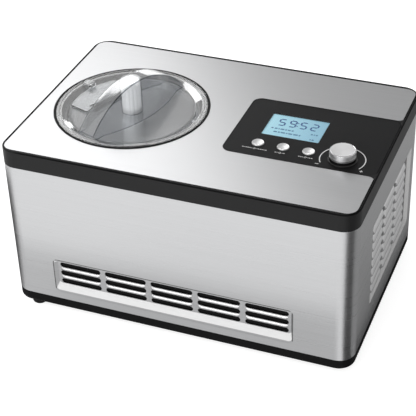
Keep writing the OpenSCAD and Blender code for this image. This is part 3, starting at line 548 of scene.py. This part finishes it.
def vent_shade_sheet():
    """A black sheet close behind the slots: painted shade that keeps them dark."""
    bm = bmesh.new()
    prism(bm, rounded(VENT_X0 + 6, VENT_X1 - 6, VENT_Z0 + 12, VENT_Z1 - 4, 3),
          -VENT_DEEP - 2.2, -VENT_DEEP - 1.7)
    bm.transform(Matrix(((1, 0, 0, 0), (0, 0, -1, CASE_LO.y * MM), (0, 1, 0, 0), (0, 0, 0, 1))))
    finish_mesh("front_vent_shade_sheet", bm, BLACK_BASE, "housing")


# ---------------------------------------------------------------- side vent
GRILLE_LO, GRILLE_HI = low("side_grille"), high("side_grille")
LOUVRE_PITCH, LOUVRES = 11.9, 8
LOUVRE_W, LOUVRE_STEP = 45.5, 51.0
LOUVRE_GAP, LOUVRE_RISE, LOUVRE_END = 2.2, 3.2, 3.0
GRILLE_DEEP = 3.4
TROUGH_FRONT, TROUGH_BACK, TROUGH_FOOT, TROUGH_TOP = 2.5, 8, 6.5, 2
FIRST_COLUMN, FIRST_LIP = 7, 10.2


def side_vent():
    bm = bmesh.new()
    y0, y1, z0, z1 = GRILLE_LO.y, GRILLE_HI.y, GRILLE_LO.z, GRILLE_HI.z
    outer = rounded(y0, y1, z0, z1, 5)
    shelf = rounded(y0 + TROUGH_FRONT, y1 - TROUGH_BACK, z0 + TROUGH_FOOT, z1 - TROUGH_TOP, 3)
    band(bm, outer, 0, shelf, -GRILLE_DEEP, SHEET_T)
    lips = [z0 + FIRST_LIP + k * LOUVRE_PITCH for k in range(LOUVRES)]
    columns = [y0 + FIRST_COLUMN + c * LOUVRE_STEP for c in range(3)]
    holes = [rounded(y + 1, y + LOUVRE_W - 1, z - LOUVRE_GAP, z, 0.7, 3)
             for y in columns for z in lips]
    holed_plate(bm, shelf, holes, -GRILLE_DEEP - SHEET_T, -GRILLE_DEEP)
    for y in columns:
        for z in lips:
            pressing(bm, y, y + LOUVRE_W, z + LOUVRE_PITCH - LOUVRE_GAP - 0.6, z,
                     LOUVRE_RISE, LOUVRE_END, -GRILLE_DEEP, hooded, 28, 8)
    side = ((0, 0, 1, (CASE_HI.x - RECESS) * MM), (1, 0, 0, 0), (0, 1, 0, 0), (0, 0, 0, 1))
    bm.transform(Matrix(side))
    piece = finish_mesh("side_vent_pressing", bm, STEEL_LOUVRE, "housing", 50, True)
    # painted light and shade by facing: lighter steel on faces that look up, darker on faces that
    # look down or towards the back
    paint_light_by_facing(piece, Vector((0, 1, 0)),
              (STEEL_LOUVRE_PAINTED_LIGHT, STEEL_SHADE, STEEL_LOUVRE_BEVEL_PAINTED_LIGHT, STEEL_RECESS_PAINTED_SHADE))
    # painted shade on the flat floor of the recess; painted light on the sloping bevels at the foot
    # and back
    for f in piece.data.polygons:
        spot, sloped = f.center / MM, abs(f.normal.x) < 0.97
        if abs(f.normal.x) > 0.995 and spot.x < GRILLE_HI.x - 2:
            f.material_index = PAINTED_SHADE_SLOT
        elif sloped and (spot.z < z0 + TROUGH_FOOT or spot.y > y1 - TROUGH_BACK):
            f.material_index = PAINTED_BEVEL_LIGHT_SLOT
    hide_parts("side_grille")


# ---------------------------------------------------------------- display
GLASS_LOW = low("lcd_window").z
SEGMENTS = {5: "afgcd", 9: "abcdfg", 2: "abged"}
INK_T, FAINT_T = 0.06, 0.05


def bar(x0, y0, x1, y1, w):
    """A segment with pointed ends, as an outline."""
    a, b = Vector((x0, y0)), Vector((x1, y1))
    d = (b - a).normalized()
    s = Vector((-d.y, d.x)) * w / 2
    return [tuple(p) for p in (a, a + d * w / 2 - s, b - d * w / 2 - s,
                               b, b - d * w / 2 + s, a + d * w / 2 + s)]


def digit(bm, value, x, y, w, h, t, z):
    """A seven-segment figure: the segments' ends stand a little apart."""
    inset = 0.28
    mid = y + h / 2
    ends = {"a": (x, y + h, x + w, y + h), "g": (x, mid, x + w, mid), "d": (x, y, x + w, y),
            "f": (x, mid, x, y + h), "b": (x + w, mid, x + w, y + h),
            "e": (x, y, x, mid), "c": (x + w, y, x + w, mid)}
    for key in SEGMENTS[value]:
        x0, y0, x1, y1 = ends[key]
        d = Vector((x1 - x0, y1 - y0)).normalized() * inset
        prism(bm, bar(x0 + d.x, y0 + d.y, x1 - d.x, y1 - d.y, t), z, z + INK_T)


def display_face():
    bm = bmesh.new()
    face = rounded(LCD_LO.x + 0.1, LCD_HI.x - 0.1, LCD_LO.y + 0.1, LCD_HI.y - 0.1, 1.5)
    prism(bm, face, GLASS_LOW - 0.19, GLASS_LOW - 0.11)
    finish_mesh("display_lit_face", bm, DISPLAY, "housing")
    z = GLASS_LOW - 0.09
    bm = bmesh.new()
    base, tall, wide, stroke, dot = LCD_HI.y - 22.4, 13.2, 7.0, 2.0, 0.8
    for value, x in ((5, 12.3), (9, 25.1), (5, 38.1), (2, 51.3)):
        digit(bm, value, LCD_LO.x + x, base, wide, tall, stroke, z)
    for dy in (3.4, 9.6):
        x = LCD_LO.x + 34.5
        colon = rounded(x - dot, x + dot, base + dy - dot, base + dy + dot, 0.3, 2)
        prism(bm, colon, z, z + INK_T)
    square = rounded(LCD_LO.x + 7.2, LCD_LO.x + 9.4, LCD_HI.y - 31.6, LCD_HI.y - 29.4, 0.4, 2)
    prism(bm, square, z, z + INK_T)
    finish_mesh("display_digits", bm, DIGIT_INK, "housing")
    # plain marks in the places of the two mode lines and the unit
    bm = bmesh.new()
    half, gap = 1.3, 0.2
    rows = ((11.2, -30.5, (4.2, 2.4, 5.4, 3.0, 4.4, 3.2)),
            (12.0, -37.6, (5.0, 3.2, 6.2, 2.6, 5.6, 6.4, 3.0)),
            (54.9, -31.2, (3.2, 2.2, 3.2)), (56.6, -42.3, (2.4, 3.4)))
    for x0, dy, widths in rows:
        x = LCD_LO.x + x0
        for w in widths:
            y = LCD_HI.y + dy
            prism(bm, rounded(x, x + w - 0.9, y - half, y + half, 0.35, 2), z, z + FAINT_T)
            x += w + gap
    finish_mesh("display_marks", bm, FAINT_INK, "housing")


# ---------------------------------------------------------------- printing on the fascia
PRINT_Z0, PRINT_Z1 = FASCIA_Z + 0.005, FASCIA_Z + 0.055


def strip_arc(bm, cx, cy, r, w, a0, a1, n=72):
    """A curved printed line of one width, with square ends."""
    line = []
    for radius, start, end in ((r + w / 2, a0, a1), (r - w / 2, a1, a0)):
        turns = [start + (end - start) * k / n for k in range(n + 1)]
        line += [(cx + radius * math.cos(a), cy + radius * math.sin(a)) for a in turns]
    m = len(line)
    lo = [bm.verts.new((x * MM, y * MM, PRINT_Z0 * MM)) for x, y in line]
    hi = [bm.verts.new((x * MM, y * MM, PRINT_Z1 * MM)) for x, y in line]
    for i in range(m):
        bm.faces.new((lo[i], lo[(i + 1) % m], hi[(i + 1) % m], hi[i]))
    for i in range(n):
        j = m - 1 - i
        bm.faces.new((hi[i], hi[i + 1], hi[j - 1], hi[j]))
        bm.faces.new((lo[j], lo[j - 1], lo[i + 1], lo[i]))


def mark(bm, x0, x1, y0, y1):
    """A printed bar with soft corners."""
    prism(bm, rounded(x0, x1, y0, y1, min(x1 - x0, y1 - y0) * 0.4, 2), PRINT_Z0, PRINT_Z1)


def fascia_print():
    bm = bmesh.new()
    strip_arc(bm, KNOB.x, KNOB.y, 25.6, 1.15, math.radians(-30), math.radians(211))
    minus_x, plus_x, sign_y = KNOB.x - 24.8, KNOB.x + 25.8, KNOB.y - 16.9
    thin, arm = 0.45, 1.9
    mark(bm, minus_x - 2.1, minus_x + 2.1, sign_y - thin, sign_y + thin)
    mark(bm, plus_x - arm, plus_x + arm, sign_y - thin, sign_y + thin)
    mark(bm, plus_x - thin, plus_x + thin, sign_y + 0.46, sign_y + arm)
    mark(bm, plus_x - thin, plus_x + thin, sign_y - arm, sign_y - 0.46)
    for node, half in (("button_left", 14.2), ("button_middle", 6.4), ("button_right", 8.4)):
        c = centre(node) / MM
        y = c.y - 12.4
        # a small icon in the middle, an open ring with a stem, and bars in place of a word
        strip_arc(bm, c.x, y, 1.25, 0.5, math.radians(125), math.radians(415), 24)
        mark(bm, c.x - 0.25, c.x + 0.25, y + 0.3, y + 1.9)
        x = 2.6
        while x + 1.2 < half:
            w = 1.3 + 0.5 * math.sin(x * 2.1)
            for s in (-1, 1):
                near, far = sorted((s * x, s * (x + w)))
                mark(bm, c.x + near, c.x + far, y - 0.62, y + 0.62)
            x += w + 0.75
    finish_mesh("fascia_printing", bm, PRINT_WHITE, "housing")


# ---------------------------------------------------------------- knob and buttons
AXIS_R = 0.02  # turned solids stop this far from their axis, which can't be seen


def knob():
    cap_lo, cap_hi = low("knob_cap"), high("knob_cap")
    r, z0, z1 = (cap_hi.x - cap_lo.x) / 2, cap_lo.z, cap_hi.z
    bore, socket = 3.1, z1 - 3.4
    bm = bmesh.new()
    profile = [(bore, z0, 0), (r - 0.5, z0, 0), (r, z0 + 0.5, 0.3), (r, z0 + 3.0, 0),
               (r - 0.3, z0 + 3.2, 0.1), (r - 0.3, z0 + 3.5, 0.1), (r, z0 + 3.7, 0),
               (r, z1 - 0.95, 0.4), (r - 1.0, z1 - 0.02, 0.2), (r - 1.35, z1 - 0.25, 0.1),
               (AXIS_R, z1 - 0.3, 0), (AXIS_R, socket, 0), (bore, socket, 0)]
    lathe(bm, soften(profile, 4), KNOB.x, KNOB.y, 128)
    piece = finish_mesh("knob_cap_turned", bm, ALU_TURNED, "knob", 32)
    piece.data.materials.append(ALU_EDGE)
    for f in piece.data.polygons:
        mid = f.center / MM
        out = math.hypot(mid.x - KNOB.x, mid.y - KNOB.y)
        if mid.z > z1 - 1.0 and out > r - 1.4:
            f.material_index = 1
    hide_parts("knob_cap")
    z = FASCIA_Z
    lo, hi = low("knob_collar"), high("knob_collar")
    ro = (hi.x - lo.x) / 2
    bm = bmesh.new()
    profile = [(ro - 2.4, z + 0.02, 0), (ro, z + 0.02, 0), (ro, z + 0.7, 0.3),
               (ro - 0.9, hi.z, 0.4), (ro - 2.4, hi.z, 0.2)]
    lathe(bm, soften(profile, 4), KNOB.x, KNOB.y, 128)
    piece = finish_mesh("knob_collar_ring", bm, BLACK_GLOSS, "housing", 40)
    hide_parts("knob_collar")


def top_edge():
    """The black edge of the top frame, folded over the border of the steel panel."""
    lo, hi = low("top_panel"), high("top_panel")
    fold, corner_out, corner_in = 1.5, 15.5, 14.2
    outer = rounded(lo.x, hi.x, lo.y, hi.y, corner_out, 10)
    inner = rounded(lo.x + fold, hi.x - fold, lo.y + fold, hi.y - fold, corner_in, 10)
    bm = bmesh.new()
    band(bm, outer, hi.z + 0.08, inner, hi.z + 0.05, 0.2)
    finish_mesh("top_edge_fold", bm, BLACK_BASE, "housing")


def push_button(node):
    c, z = centre(node) / MM, high(node).z
    r, border, depth, steps = 7.3, 1.1, 1.0, 10
    bm = bmesh.new()
    dish = [(r - border - (r - border) * k / steps, z - 1.15 + depth * ((1 - k / steps) ** 2))
            for k in range(steps + 1)]
    profile = soften([(2.0, z - 4.0, 0), (r, z - 4.0, 0), (r, z - 0.75, 0.35),
                      (r - 0.55, z - 0.02, 0.25), (r - border, z - 0.15, 0.2)], 4)
    profile = profile[:-1] + dish[:-1] + [(AXIS_R, dish[-1][1]), (AXIS_R, z - 4.0)]
    lathe(bm, profile, c.x, c.y, 96)
    piece = finish_mesh(node + "_face", bm, ALU_TURNED, node, 40)
    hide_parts(node)


# ---------------------------------------------------------------- lid
# drawn round its own axis, u along the arch and v across it, then turned with the arch
LID_PLACE = Matrix.Translation((BOWL.x * MM, BOWL.y * MM, 0)) @ Matrix.Rotation(ARCH_TURN, 4, "Z")
LID_TOP = TOP + 1.0
FLOOR_TOP, FLOOR_T = TOP - 3.8, 2.0
CREST = high("lid").z
ARCH_HALF, ARCH_RISE = 79.0, 38.0
ARCH_R = (ARCH_HALF ** 2 + ARCH_RISE ** 2) / (2 * ARCH_RISE)
FOOT_ARC_R, FOOT_ARC_OFFSET, FOOT_LEAST = 154.5, 127.0, 13.5
CREST_HALF = 11.5
BOSS_R = 13.2


def place_lid(bm):
    bm.transform(LID_PLACE)


def arch_height(u):
    """Height of the crest's circular arc."""
    return CREST - ARCH_R + math.sqrt(max(0.0, ARCH_R ** 2 - u * u))


def ridge_half(u):
    """Half the width of the ridge's foot: two long arcs, cut where they get narrow."""
    return max(FOOT_LEAST, math.sqrt(max(0.0, FOOT_ARC_R ** 2 - u * u)) - FOOT_ARC_OFFSET)


def lid_plate():
    """The floor, its sloping wall and the flat rim, with a short skirt that drops into the bowl."""
    bm = bmesh.new()
    slope_in, slope_out, rim, hole, skirt = 76.0, 83.0, 90.5, BOSS_R - 0.8, 15
    lower, flat = FLOOR_TOP - FLOOR_T, LID_TOP - 0.02
    profile = [(hole, lower, 0), (slope_in - 3.2, lower, 0), (slope_in - 2.6, lower - skirt, 0.4),
               (slope_in - 1.3, lower - skirt, 0.4), (slope_in - 1.2, lower - 1.0, 1.0),
               (slope_in + 1.0, lower, 1.0), (slope_out + 1.0, TOP - 1.4, 1.2),
               (rim, TOP - 1.2, 0.5), (rim, LID_TOP - 0.3, 0.5), (rim - 0.7, flat, 0.4),
               (slope_out + 4.0, flat, 0.5), (slope_out + 3.2, LID_TOP - 0.6, 0.4),
               (slope_out + 0.8, LID_TOP - 0.6, 0.8), (slope_in, FLOOR_TOP, 1.6),
               (hole, FLOOR_TOP, 0)]
    lathe(bm, soften(profile, 5), 0, 0, 192)
    place_lid(bm)
    piece = finish_mesh("lid_plate", bm, LID_CLEAR, "lid", 45)
    piece.data.materials.append(LID_FLOOR)
    piece.data.materials.append(LID_SLOPE)
    for f in piece.data.polygons:
        mid = f.center / MM
        out = math.hypot(mid.x - BOWL.x, mid.y - BOWL.y)
        if out < slope_in - 2.4 and abs(mid.z - FLOOR_TOP + 1) < 1.2:
            f.material_index = 1
        elif slope_in + 0.5 < out < slope_out + 1 and FLOOR_TOP < mid.z < LID_TOP - 0.5:
            f.material_index = 2
    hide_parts("lid")


def lid_ridge():
    """The hollow arched handle: two curved walls, a narrow crest, and round corners between."""
    bm = bmesh.new()
    stations, corner, wall, bead, ramp_from = 120, 1.1, 1.6, 0.5, 75.0
    rows = []
    for i in range(stations + 1):
        u = (ARCH_HALF - 1.0) * (2 * i / stations - 1)
        top = arch_height(u) - 0.02
        foot = min(FLOOR_TOP + 0.05 + max(0.0, abs(u) - ramp_from) * 0.75, top - wall - 0.6)
        half = ridge_half(u)
        side = [(-half - bead, foot), (-half, foot + 0.8), (-CREST_HALF, top - corner),
                (-CREST_HALF + corner * 0.3, top - corner * 0.3),
                (-CREST_HALF + corner, top), (-CREST_HALF / 2, top)]
        outer = side + [(0, top)] + [(-v, z) for v, z in reversed(side)]
        inner = [(half - wall, foot), (CREST_HALF - wall * 0.9, top - wall), (0, top - wall),
                 (-CREST_HALF + wall * 0.9, top - wall), (-half + wall, foot)]
        rows.append([bm.verts.new((v * MM, u * MM, z * MM)) for v, z in outer + inner])
    n = len(rows[0])
    # the foot beads and crest corners take the dark edge tint: painted shade for the dark lines
    # clear plastic shows at its edges
    crest, edge = (4, 5, 6, 7), (0, 2, 3, 8, 9, 11)
    for a, b in zip(rows, rows[1:]):
        for k in range(n):
            j = (k + 1) % n
            f = bm.faces.new((a[k], a[j], b[j], b[k]))
            f.material_index = 1 if k in crest else 2 if k in edge else 0
    # each end is closed by faces from the outer points to the nearest of the five inner ones
    outer_n, last = n - 5, 4
    for row in (rows[0], rows[-1]):
        inside = row[outer_n:]
        for k in range(outer_n - 1):
            pick = inside[last - min(last, round(k * last / (outer_n - 1)))]
            after = inside[last - min(last, round((k + 1) * last / (outer_n - 1)))]
            if pick is after:
                bm.faces.new((row[k], row[k + 1], pick))
            else:
                bm.faces.new((row[k], row[k + 1], after, pick))
    place_lid(bm)
    piece = finish_mesh("lid_ridge", bm, LID_WALL, "lid", 30)
    piece.data.materials.append(LID_CREST)
    piece.data.materials.append(LID_EDGE_PAINTED_SHADE)
    piece.visible_shadow = False


def lid_boss():
    """The upright tube under the crest, with its closed top."""
    z0, z1 = FLOOR_TOP - FLOOR_T, CREST
    cap, under = z1 - 0.04, z1 - 1.4
    bm = bmesh.new()
    profile = [(BOSS_R - 1.0, z0, 0), (BOSS_R, z0, 0), (BOSS_R, z1 - 1.6, 0.8),
               (BOSS_R - 2.0, cap, 0.8), (AXIS_R, cap, 0), (AXIS_R, under, 0),
               (BOSS_R - 2.2, under, 0.5), (BOSS_R - 1.0, z1 - 2.6, 0.5)]
    lathe(bm, soften(profile, 5), 0, 0, 96)
    place_lid(bm)
    piece = finish_mesh("lid_boss", bm, LID_BOSS, "lid", 40)
    piece.visible_shadow = False


front_vent()
vent_shade_sheet()
top_edge()
side_vent()
display_face()
fascia_print()
knob()
for button in ("button_left", "button_middle", "button_right"):
    push_button(button)
lid_plate()
lid_ridge()
lid_boss()


# ---------------------------------------------------------------- camera
# the photograph's view: from the front, 22 degrees round to the right, looking down by 35 degrees
# and rolled by 2
AZ, EL, ROLL = math.radians(22.256), math.radians(34.875), math.radians(-2.031)
LENS, DISTANCE = 112.79, 1.58458
AIM_HEIGHT, AIM_LEFT, AIM_DOWN = 118.0 * MM, 11.2 * MM, 17.8 * MM
back = Vector((math.sin(AZ) * math.cos(EL), -math.cos(AZ) * math.cos(EL), math.sin(EL)))
level = Vector((math.cos(AZ), math.sin(AZ), 0))
rise = back.cross(level)
right = level * math.cos(ROLL) + rise * math.sin(ROLL)
up = rise * math.cos(ROLL) - level * math.sin(ROLL)
aim = Vector((0, 0, AIM_HEIGHT)) - AIM_LEFT * level - AIM_DOWN * rise
cam_data = bpy.data.cameras.new("camera")
cam_data.sensor_width = 36
cam_data.lens = LENS
cam_data.clip_start, cam_data.clip_end = 0.05, 60
cam = bpy.data.objects.new("camera", cam_data)
scene.collection.objects.link(cam)
place = Matrix((right, up, back)).transposed().to_4x4()
place.translation = aim + back * DISTANCE
cam.matrix_world = place
scene.camera = cam


# ---------------------------------------------------------------- studio
def sheet(name, outline, z, mat, seen=True):
    """A flat sheet of paper; one that isn't seen shows in reflections only."""
    bm = bmesh.new()
    bm.faces.new([bm.verts.new((x, y, z)) for x, y in outline])
    me = bpy.data.meshes.new(name)
    bm.to_mesh(me)
    bm.free()
    ob = bpy.data.objects.new(name, me)
    scene.collection.objects.link(ob)
    me.materials.append(mat)
    if not seen:
        ob.visible_camera = ob.visible_shadow = ob.visible_diffuse = ob.visible_transmission = False


def paper(name, grey, glow):
    """Matt paper, lit a little from below where it is a light table."""
    m, nt, bsdf = new_mat(name)
    stops = [(0.3, (grey,) * 3), (0.7, (grey * 1.03,) * 3)]
    tone = ramp(nt, noise(nt, coords(nt), 3, 2), stops)
    nt.links.new(tone, bsdf.inputs["Base Color"])
    bsdf.inputs["Emission Color"].default_value = (1, 1, 1, 1)
    bsdf.inputs["Emission Strength"].default_value = glow
    bsdf.inputs["Roughness"].default_value = 0.9
    bsdf.inputs["Specular IOR Level"].default_value = 0.1
    return m


sheet("floor", [(-7, -7), (7, -7), (7, 7), (-7, 7)], -0.0004, paper("floor_paper", 0.7, 0.76))
# cards flat on the floor that only reflections see: dark and grey ones darken the right-hand
# side, its corner and the left-hand corner, and a pale one lies before the front
dark_card, grey_card = paper("card_dark", 0.05, 0.0), paper("card_grey", 0.42, 0.10)
LOWER, UPPER = 0.0006, 0.0009
SIDE_REACH, CORNER_X, CORNER_Y = 1.2, 0.1925, -0.1215


def fan(x, y, bearings, reach=0.7):
    """An outline on the floor that spreads from a corner of the case over the given bearings."""
    turns = [math.radians(a) for a in bearings]
    return [(x, y)] + [(x + reach * math.sin(a), y - reach * math.cos(a)) for a in turns]


def oblong(x0, x1, y0, y1):
    """An outline with its sides along the axes."""
    return [(x0, y0), (x1, y0), (x1, y1), (x0, y1)]


sheet("card_side", oblong(0.2135, SIDE_REACH, -0.12, 1.3), LOWER, grey_card, False)
sheet("card_corner", fan(CORNER_X, CORNER_Y, (36, 48, 62, 76, 90)), UPPER, dark_card, False)
sheet("card_left_corner", fan(-CORNER_X, CORNER_Y, (-80, -95, -110, -125, -140), 0.32), UPPER,
      dark_card, False)
sheet("card_left_soft", fan(-CORNER_X, CORNER_Y, (-58, -69, -80), 0.32), UPPER, grey_card, False)
sheet("card_side_low", oblong(0.2128, 0.229, -0.10, 0.3), UPPER, dark_card, False)
sheet("card_front", oblong(-0.35, 0.2, -0.25, -0.143), LOWER, paper("card_pale", 0.55, 0.42),
      False)


def lamp(name, at, to, sx, sy, radiance):
    """An oblong area lamp of the given radiance, turned towards a point."""
    d = bpy.data.lights.new(name, "AREA")
    d.shape = "RECTANGLE"
    d.size, d.size_y = sx, sy
    d.energy = radiance * math.pi * sx * sy
    o = bpy.data.objects.new(name, d)
    scene.collection.objects.link(o)
    o.location = at
    o.rotation_euler = (Vector(to) - Vector(at)).to_track_quat("-Z", "Y").to_euler()
    return o


lamp("softbox_back_left", (-1.70, 1.68, 1.95), (-0.1, 0, 0.22), 2.1, 1.4, 2.0)
lamp("softbox_front", (-0.3, -2.9, 1.5), (0, 0, 0.1), 3.0, 1.4, 2.1)
lamp("strip_back", (-0.65, 2.6, 0.42), (-0.1, 0, 0.25), 1.1, 0.4, 3.0)

# lights the matt surfaces only, so that it leaves no mirror image of itself in the metal
key = lamp("key_soft", (-1.2, -1.8, 2.2), (-0.1, 0, 0.2), 1.2, 1.2, 3.6)
key.visible_glossy = False

world = bpy.data.worlds.new("studio")
scene.world = world
world.use_nodes = True
wn = world.node_tree
wn.nodes["Background"].inputs["Strength"].default_value = 0.45
wn.nodes["Background"].inputs["Color"].default_value = (1, 1, 1, 1)
scene.view_settings.view_transform = "Standard"
